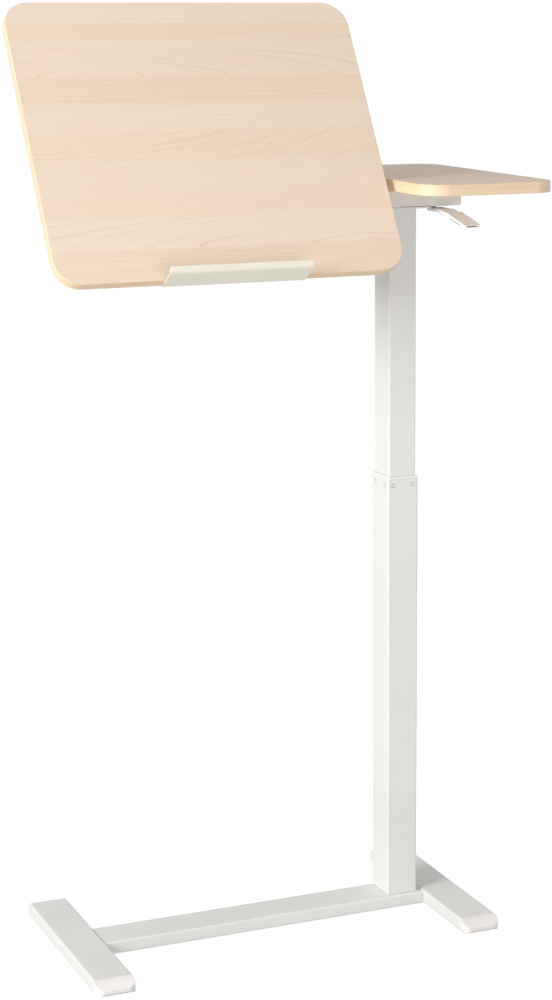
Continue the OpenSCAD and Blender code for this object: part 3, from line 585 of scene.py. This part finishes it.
def band_contour(lo, hi):
    """Points and outward normals round a leaf, anticlockwise from above."""
    radius = LEAF_CORNER_RADIUS
    left, right = lo.x + radius, hi.x - radius
    front, rear = lo.y + radius, hi.y - radius
    # centre x, centre y, first angle in degrees
    corners = ((right, front, -90), (right, rear, 0), (left, rear, 90), (left, front, 180))

    def on_arc(x, y, angle):
        normal = Vector((math.cos(angle), math.sin(angle)))
        return Vector((x + radius * math.cos(angle), y + radius * math.sin(angle))), normal

    contour = []
    for i, (x, y, first) in enumerate(corners):
        for j in range(CORNER_STEPS + 1):
            contour.append(on_arc(x, y, math.radians(first + 90.0 * j / CORNER_STEPS)))
        next_x, next_y, _ = corners[(i + 1) % 4]
        start = contour[-1][0]
        end, normal = on_arc(next_x, next_y, math.radians(first + 90))
        count = max(2, int((end - start).length / STRAIGHT_STEP))
        for j in range(1, count):
            contour.append((start.lerp(end, j / count), normal))
    return contour


def band_profile(height, thickness):
    """Section as (outward offset, height) pairs, from the inner bottom to the inner top."""
    ease = ARRIS_RADIUS

    def arris(first, centre):
        angles = [math.radians(first + 90 * j / ARRIS_STEPS) for j in range(ARRIS_STEPS + 1)]
        return [(-ease + ease * math.cos(a), centre + ease * math.sin(a)) for a in angles]

    face = [(0.0, ease + (height - 2 * ease) * j / BAND_FACE_STEPS)
            for j in range(1, BAND_FACE_STEPS)]
    return [(-thickness, 0.0), *arris(-90, ease), *face, *arris(0, height - ease),
            (-thickness, height)]


def edge_band(name, lo, hi, thickness, material, tilted):
    """Banding strip round a leaf: rounded arrises, UV running along the strip in metres."""
    contour = band_contour(lo, hi)
    profile = band_profile(hi.z - lo.z, thickness)
    count, rows = len(contour), len(profile)
    across = [0.0]
    for j in range(1, rows):
        across.append(across[-1] + math.dist(profile[j], profile[j - 1]))
    along = [0.0]
    for i in range(1, count + 1):
        along.append(along[-1] + (contour[i % count][0] - contour[i - 1][0]).length)

    bm = bmesh.new()
    uv_layer = bm.loops.layers.uv.new("UVMap")
    grid = [[bm.verts.new((point.x + normal.x * out, point.y + normal.y * out, lo.z + up))
             for out, up in profile] for point, normal in contour]
    for i in range(count):
        here, ahead = grid[i], grid[(i + 1) % count]
        for j in range(rows):
            above = (j + 1) % rows
            face = bm.faces.new((here[j], ahead[j], ahead[above], here[above]))
            # The last face closes the section on the inner side: flat, with no UV height
            face.smooth = j != rows - 1
            v_low, v_high = across[j], (across[above] if above else across[j])
            corners = ((along[i], v_low), (along[i + 1], v_low),
                       (along[i + 1], v_high), (along[i], v_high))
            for loop, uv in zip(face.loops, corners):
                loop[uv_layer].uv = uv
    bmesh.ops.recalc_face_normals(bm, faces=bm.faces)
    mesh = bpy.data.meshes.new(name)
    bm.to_mesh(mesh)
    bm.free()
    if tilted:
        mesh.transform(Matrix.Translation(PIVOT) @ Matrix.Rotation(TILT, 4, "X")
                       @ Matrix.Translation(-PIVOT))
    obj = bpy.data.objects.new(name, mesh)
    bpy.context.scene.collection.objects.link(obj)
    dress(obj, material)
    mesh.set_sharp_from_angle(angle=math.radians(50))
    return obj


band_thickness = max(LEAST_BAND_THICKNESS, level_box("tilting_leaf")[0].x - tilt_lo.x)
for leaf, lo, hi, material, tilted, joint in (
    ("tilting_leaf", tilt_lo, tilt_hi, EDGE_TILT, True, "tilt"),
    ("fixed_leaf", fixed_lo, fixed_hi, EDGE_FIXED, False, "lift"),
):
    band = edge_band(leaf + "_banding", lo, hi, band_thickness, material, tilted)
    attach(band, joint)
    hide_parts(leaf + "_edge_band")


# ---------------------------------------------------------------- studio

def floor_material():
    """Bounces like white paint, and reads near white with soft contact shadows."""
    mat = Material("studio_floor")
    cloud = mat.noise(mat.coord(), scale=0.8)
    mat.finish(color=mat.mix(cloud, (0.68, 0.68, 0.675, 1), (0.72, 0.72, 0.72, 1)),
               rough=0.8, spec=0.1)
    seen = mat.node("ShaderNodeBsdfDiffuse")
    seen.inputs["Color"].default_value = (0.46, 0.46, 0.465, 1)
    glow = mat.node("ShaderNodeEmission")
    glow.inputs["Color"].default_value = (1, 1, 1, 1)
    glow.inputs["Strength"].default_value = 0.76
    seen = mat.fill(mat.node("ShaderNodeAddShader"), seen.outputs[0], glow.outputs[0])
    to_camera = mat.node("ShaderNodeLightPath").outputs["Is Camera Ray"]
    surface = mat.mix_shaders(to_camera, mat.shader.outputs[0], seen)
    # Clear from below and to rays shorter than 0.03 m, so the underside is lit and can be seen
    near = mat.math("LESS_THAN", mat.node("ShaderNodeLightPath").outputs["Ray Length"], 0.03)
    below = mat.node("ShaderNodeNewGeometry").outputs["Backfacing"]
    clear = mat.node("ShaderNodeBsdfTransparent").outputs[0]
    surface = mat.mix_shaders(mat.math("MAXIMUM", below, near), surface, clear)
    mat.put(mat.output.inputs[0], surface)
    return mat.data


def floor():
    mesh = bpy.data.meshes.new("floor")
    bm = bmesh.new()
    bm.faces.new([bm.verts.new((x * FLOOR_HALF_SIZE, y * FLOOR_HALF_SIZE, 0))
                  for x, y in ((-1, -1), (1, -1), (1, 1), (-1, 1))])
    bm.to_mesh(mesh)
    bm.free()
    obj = bpy.data.objects.new("floor", mesh)
    bpy.context.scene.collection.objects.link(obj)
    dress(obj, floor_material())


def world():
    """Soft even light; the camera itself sees a brighter white."""
    studio = bpy.data.worlds.new("studio")
    studio.use_nodes = True
    nodes, links = studio.node_tree.nodes, studio.node_tree.links
    ambient = nodes["Background"]
    white = nodes.new("ShaderNodeBackground")
    for background, colour, strength in ((ambient, (0.985, 0.99, 1.0, 1), 0.55),
                                         (white, (1, 1, 1, 1), 1.05)):
        background.inputs["Color"].default_value = colour
        background.inputs["Strength"].default_value = strength
    path = nodes.new("ShaderNodeLightPath")
    mix = nodes.new("ShaderNodeMixShader")
    links.new(path.outputs["Is Camera Ray"], mix.inputs[0])
    links.new(ambient.outputs[0], mix.inputs[1])
    links.new(white.outputs[0], mix.inputs[2])
    links.new(mix.outputs[0], nodes["World Output"].inputs[0])
    bpy.context.scene.world = studio


def soft_box(name, target, direction, distance, size, gain, color):
    """Area light that lights a face square-on at the target to gain times its own colour."""
    direction = Vector(direction).normalized()
    light = bpy.data.lights.new(name, "AREA")
    light.shape = "RECTANGLE"
    light.size, light.size_y = size
    light.energy = gain * math.pi ** 2 * distance ** 2
    light.color = color
    obj = bpy.data.objects.new(name, light)
    obj.location = Vector(target) + direction * distance
    obj.rotation_mode = "QUATERNION"
    obj.rotation_quaternion = (-direction).to_track_quat("-Z", "Y")
    bpy.context.scene.collection.objects.link(obj)


def camera(place, azimuth, pitch, lens, shift):
    """Camera turned from +Y towards +X by the azimuth, and down by the pitch, in degrees."""
    azimuth, pitch = math.radians(azimuth), math.radians(pitch)
    right = Vector((math.cos(azimuth), -math.sin(azimuth), 0))
    ahead = Vector((math.sin(azimuth) * math.cos(pitch), math.cos(azimuth) * math.cos(pitch),
                    -math.sin(pitch)))
    up = right.cross(ahead)
    data = bpy.data.cameras.new("camera")
    obj = bpy.data.objects.new("camera", data)
    obj.matrix_world = Matrix((*((right[i], up[i], -ahead[i], place[i]) for i in range(3)),
                               (0, 0, 0, 1)))
    data.sensor_width = 36.0
    data.sensor_fit = "AUTO"
    data.lens = lens
    data.shift_x, data.shift_y = shift
    data.clip_start, data.clip_end = 0.05, 100
    bpy.context.scene.collection.objects.link(obj)
    bpy.context.scene.camera = obj


floor()
world()
soft_box("key", target=(0.0, 0.0, 0.9), direction=(-0.92, -0.335, 0.252), distance=4.6,
         size=(1.5, 1.5), gain=0.77, color=(1.0, 0.99, 0.975))
soft_box("front", target=(0.15, 0.0, 1.0), direction=(0.05, -0.98, -0.12), distance=2.3,
         size=(1.8, 1.1), gain=0.18, color=(1.0, 0.99, 0.985))
camera(place=(-1.26266, -3.21722, 1.38457), azimuth=24.208, pitch=15.185,
       lens=84.908, shift=(-0.1053, 0.1443))
view = bpy.context.scene.view_settings
view.view_transform = "Standard"
view.look = "None"
view.exposure = 0.0
view.gamma = 1.0
